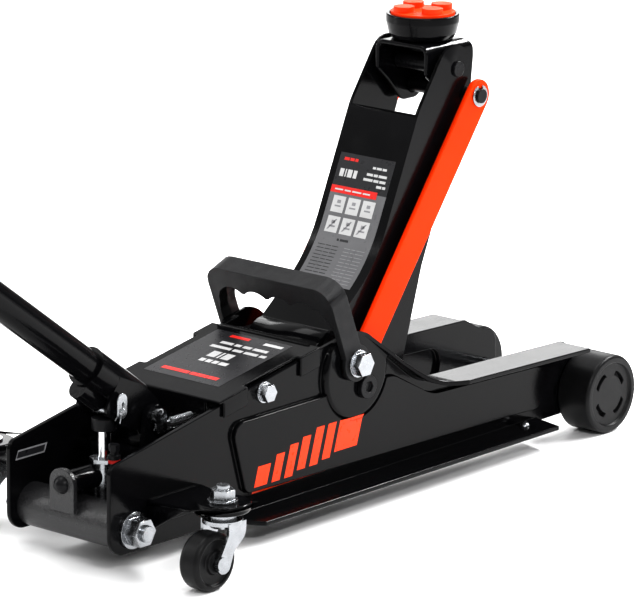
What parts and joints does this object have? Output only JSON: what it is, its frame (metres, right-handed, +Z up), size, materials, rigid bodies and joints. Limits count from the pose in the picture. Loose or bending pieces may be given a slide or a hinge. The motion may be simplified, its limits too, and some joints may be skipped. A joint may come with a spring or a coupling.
{
  "type": "hydraulic floor jack",
  "caption": "Low-profile wheeled hydraulic jack with a lifting arm, levelling links, turning saddle, pump handle, steel side plates and swivel casters.",
  "frame": {"origin": "on the floor, under the middle of the whole jack's box in the raised pose with the handle fitted", "axes": "+X towards the lifting end, +Y to the jack's left, +Z up"},
  "size_m": [1.0414, 0.2722, 0.5102],
  "materials": {
    "black_paint": "gloss black powder coat",
    "orange_paint": "satin orange paint",
    "zinc": "bright zinc plate",
    "chrome": "polished hard chrome",
    "black_steel": "black oxide, satin",
    "bronze": "sintered bronze",
    "black_plastic": "satin black nylon",
    "grey_plastic": "dark grey, moulded, matte",
    "pad_rubber": "orange rubber, satin",
    "black_rubber": "black rubber, matte",
    "seal": "dark red seal rubber"
  },
  "bodies": {
    "frame": {"side_plate_right": "black_paint", "side_plate_left": "black_paint", "top_cover": "black_paint", "cover_bolts": "zinc", "rear_tie_tube": "black_paint", "rear_tie_rod": "zinc", "rear_flange_nuts": "zinc", "flange_rivets": "zinc", "front_axle": "zinc", "axle_retainers": "black_steel", "arm_pivot_shaft": "zinc", "pivot_jam_nuts": "black_steel", "link_pivot_pins": "black_steel", "carry_handle": "grey_plastic", "caster_bracket_right": "black_paint", "caster_bracket_left": "black_paint", "caster_kingpins": "zinc", "power_unit_block": "black_paint", "rear_lug_stud": "black_steel", "ram_cylinder": "zinc", "reservoir_tank": "black_paint", "gland_nut": "black_steel", "pump_cylinder": "zinc", "filler_plug": "black_plastic", "overload_plug": "zinc", "spring_anchor_pin": "zinc", "arm_return_springs": "zinc", "socket_spring": "zinc"},
    "arm": {"lift_arm": "black_paint", "arm_bushes": "bronze", "heel_pin": "zinc"},
    "heel_roller": {"heel_roller": "black_steel"},
    "link_right": {"link_right": "orange_paint"},
    "link_left": {"link_left": "orange_paint"},
    "saddle_bracket": {"saddle_bracket": "black_paint", "saddle_pivot_pin": "black_steel", "upper_link_pin": "black_steel", "link_pin_clips": "zinc"},
    "saddle": {"saddle_cup": "black_paint", "saddle_pad": "pad_rubber"},
    "ram": {"ram_piston": "chrome", "piston_seal": "black_rubber"},
    "pump": {"pump_plunger": "chrome", "plunger_head": "black_steel"},
    "release": {"release_spindle": "black_steel", "release_seal": "seal"},
    "socket": {"handle_socket": "black_paint", "roller_pin": "zinc", "socket_pivot_pin": "zinc"},
    "pump_roller": {"pump_roller": "zinc"},
    "handle": {"handle_lower_tube": "black_paint", "handle_upper_tube": "black_paint", "handle_grip": "black_rubber", "handle_end_cap": "black_plastic"},
    "front_wheel_right": {"front_wheel_right": "black_plastic"},
    "front_wheel_left": {"front_wheel_left": "black_plastic"},
    "caster_fork_right": {"caster_fork_right": "zinc"},
    "caster_fork_left": {"caster_fork_left": "zinc"},
    "caster_wheel_right": {"caster_wheel_right": "black_plastic"},
    "caster_wheel_left": {"caster_wheel_left": "black_plastic"}
  },
  "joints": [
    {"name": "arm_lift", "type": "hinge", "parent": "frame", "child": "arm", "pos_m": [0.20379, 0, 0.1095], "axis": [0, 1, 0], "range_deg": [0, 70], "deforming": ["arm_return_springs"]},
    {"name": "saddle_level", "type": "hinge", "parent": "arm", "child": "saddle_bracket", "pos_m": [0.34911, 0, 0.30588], "axis": [0, 1, 0], "range_deg": [-70, 0]},
    {"name": "link_right_swing", "type": "hinge", "parent": "frame", "child": "link_right", "pos_m": [0.21899, -0.0414, 0.088], "axis": [0, 1, 0], "range_deg": [0, 70]},
    {"name": "link_left_swing", "type": "hinge", "parent": "frame", "child": "link_left", "pos_m": [0.21899, 0.0414, 0.088], "axis": [0, 1, 0], "range_deg": [0, 70]},
    {"name": "saddle_turn", "type": "hinge", "parent": "saddle_bracket", "child": "saddle", "pos_m": [0.34821, 0, 0.33588], "axis": [0, 0, 1], "continuous": true},
    {"name": "ram_slide", "type": "slide", "parent": "frame", "child": "ram", "axis": [1, 0, 0], "range_m": [-0.0782, 0]},
    {"name": "heel_roller_spin", "type": "hinge", "parent": "arm", "child": "heel_roller", "pos_m": [0.24352, 0, 0.05431], "axis": [0, 1, 0], "continuous": true},
    {"name": "handle_rock", "type": "hinge", "parent": "frame", "child": "socket", "pos_m": [0.02699, 0, 0.098], "axis": [0, 1, 0], "range_deg": [-25, 20]},
    {"name": "pump_slide", "type": "slide", "parent": "frame", "child": "pump", "axis": [0, 0, 1], "range_m": [-0.0141, 0.0113]},
    {"name": "pump_roller_spin", "type": "hinge", "parent": "socket", "child": "pump_roller", "pos_m": [-0.00501, 0, 0.107], "axis": [0, 1, 0], "continuous": true},
    {"name": "handle_twist", "type": "hinge", "parent": "socket", "child": "handle", "pos_m": [-0.02251, 0, 0.1414], "axis": [-0.808, 0, 0.5892], "range_deg": [0, 90]},
    {"name": "valve_turn", "type": "hinge", "parent": "frame", "child": "release", "pos_m": [-0.01251, -0.018, 0.07], "axis": [0, 0, 1], "range_deg": [0, 90]},
    {"name": "front_wheel_right_spin", "type": "hinge", "parent": "frame", "child": "front_wheel_right", "pos_m": [0.48929, -0.066, 0.0314], "axis": [0, 1, 0], "continuous": true},
    {"name": "front_wheel_left_spin", "type": "hinge", "parent": "frame", "child": "front_wheel_left", "pos_m": [0.48929, 0.066, 0.0314], "axis": [0, 1, 0], "continuous": true},
    {"name": "caster_swivel_right", "type": "hinge", "parent": "frame", "child": "caster_fork_right", "pos_m": [-0.00541, -0.1155, 0.05], "axis": [0, 0, 1], "continuous": true},
    {"name": "caster_swivel_left", "type": "hinge", "parent": "frame", "child": "caster_fork_left", "pos_m": [-0.00541, 0.1155, 0.05], "axis": [0, 0, 1], "continuous": true},
    {"name": "caster_wheel_right_spin", "type": "hinge", "parent": "caster_fork_right", "child": "caster_wheel_right", "pos_m": [-0.02141, -0.1155, 0.0212], "axis": [0, 1, 0], "continuous": true},
    {"name": "caster_wheel_left_spin", "type": "hinge", "parent": "caster_fork_left", "child": "caster_wheel_left", "pos_m": [-0.02141, 0.1155, 0.0212], "axis": [0, 1, 0], "continuous": true}
  ],
  "couplings": [
    {"joint": "saddle_level", "follows": "arm_lift", "ratio": -1},
    {"joint": "link_right_swing", "follows": "arm_lift", "ratio": 1},
    {"joint": "link_left_swing", "follows": "arm_lift", "ratio": 1},
    {"joint": "ram_slide", "follows": "arm_lift", "m_per_rad": -0.06385},
    {"joint": "pump_slide", "follows": "handle_rock", "m_per_rad": 0.032},
    {"joint": "valve_turn", "follows": "handle_twist", "ratio": 1}
  ]
}
